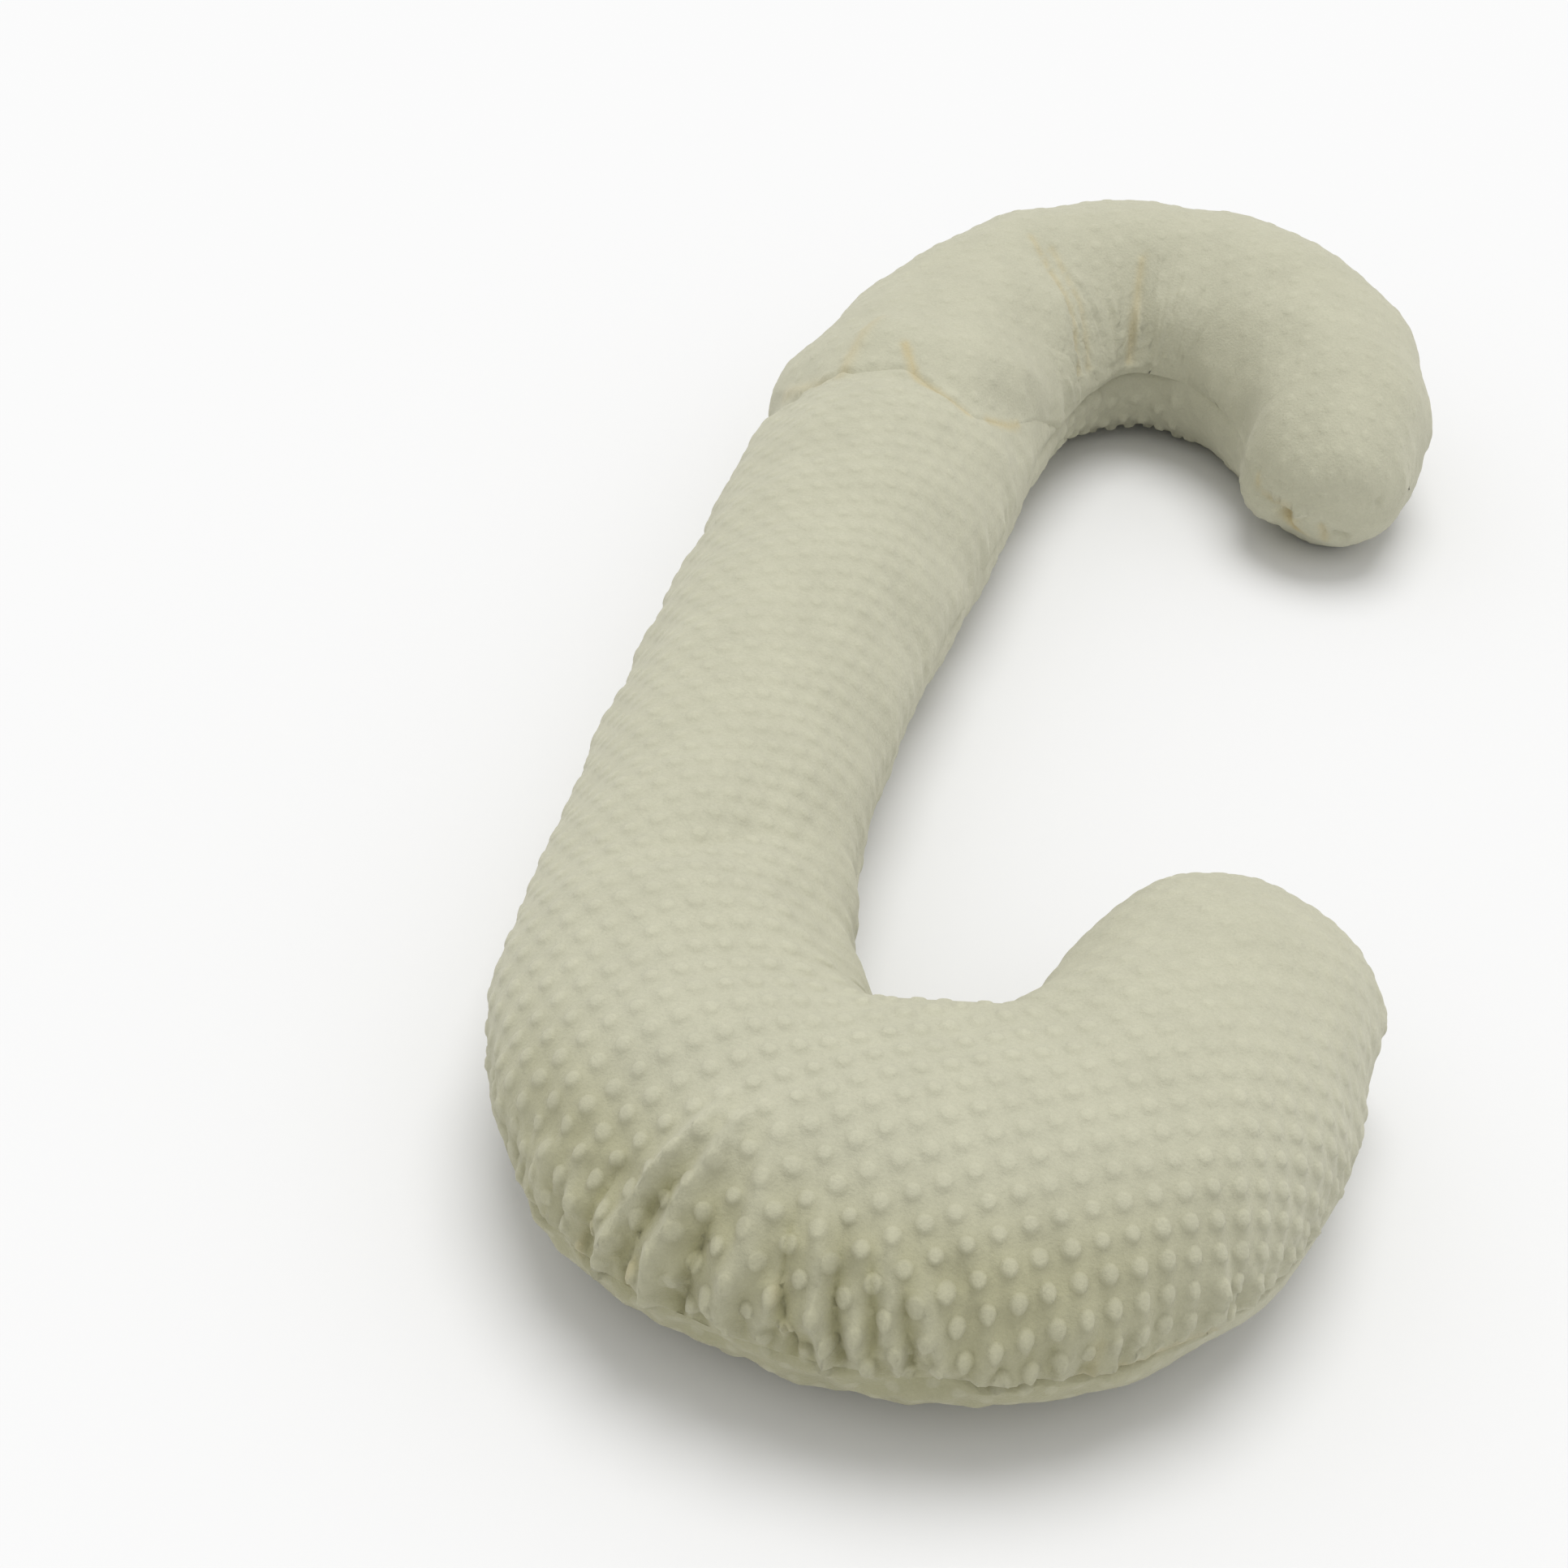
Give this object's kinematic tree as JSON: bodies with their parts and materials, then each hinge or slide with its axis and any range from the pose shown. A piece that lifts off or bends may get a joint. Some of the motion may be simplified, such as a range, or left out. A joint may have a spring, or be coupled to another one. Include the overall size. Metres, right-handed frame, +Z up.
{
  "type": "body pillow",
  "caption": "C-shaped body pillow of dotted plush: a filled shaft with a broad lower hook and a narrower head hook, lying on its back.",
  "frame": {"origin": "centre of the pillow's box in plan, on the surface that it rests on", "axes": "+Y runs up the shaft towards the head hook, +X towards the open side of the C, and +Z up out of the face"},
  "size_m": [0.6134, 1.5102, 0.1997],
  "materials": {
    "dotted_plush": "short cream plush with raised round dots, matt with a faint sheen"
  },
  "bodies": {
    "root": {"filled_pillow": "dotted_plush"}
  },
  "joints": []
}
